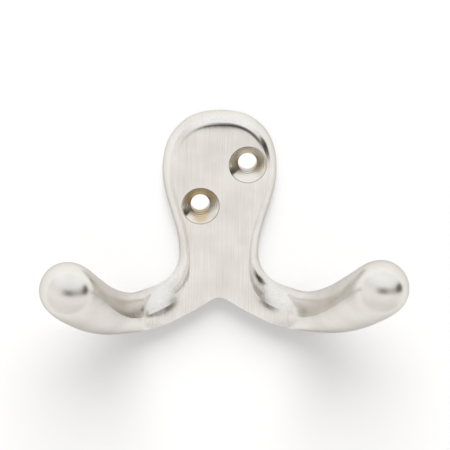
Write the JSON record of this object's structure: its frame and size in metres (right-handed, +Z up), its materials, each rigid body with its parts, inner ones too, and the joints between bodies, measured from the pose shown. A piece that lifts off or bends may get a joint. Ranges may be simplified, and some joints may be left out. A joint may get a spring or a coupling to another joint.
{
  "type": "double robe hook",
  "caption": "One-piece cast wall hook: a bevelled plate with countersunk screw holes flows into a pair of arms that end in balls.",
  "frame": {"origin": "on the flat back face, which lies on the wall, on the plate's middle line and halfway in height between the two screw holes", "axes": "+Y points into the wall, out of the flat back face; the room is on the -Y side; +X runs along the pair of arms; +Z is up"},
  "size_m": [0.0788, 0.0326, 0.0494],
  "materials": {
    "satin_nickel": "cast brass, nickel plated and finely brushed to a satin sheen, with bare brass showing through in the countersinks"
  },
  "bodies": {
    "root": {"double_robe_hook": "satin_nickel"}
  },
  "joints": []
}
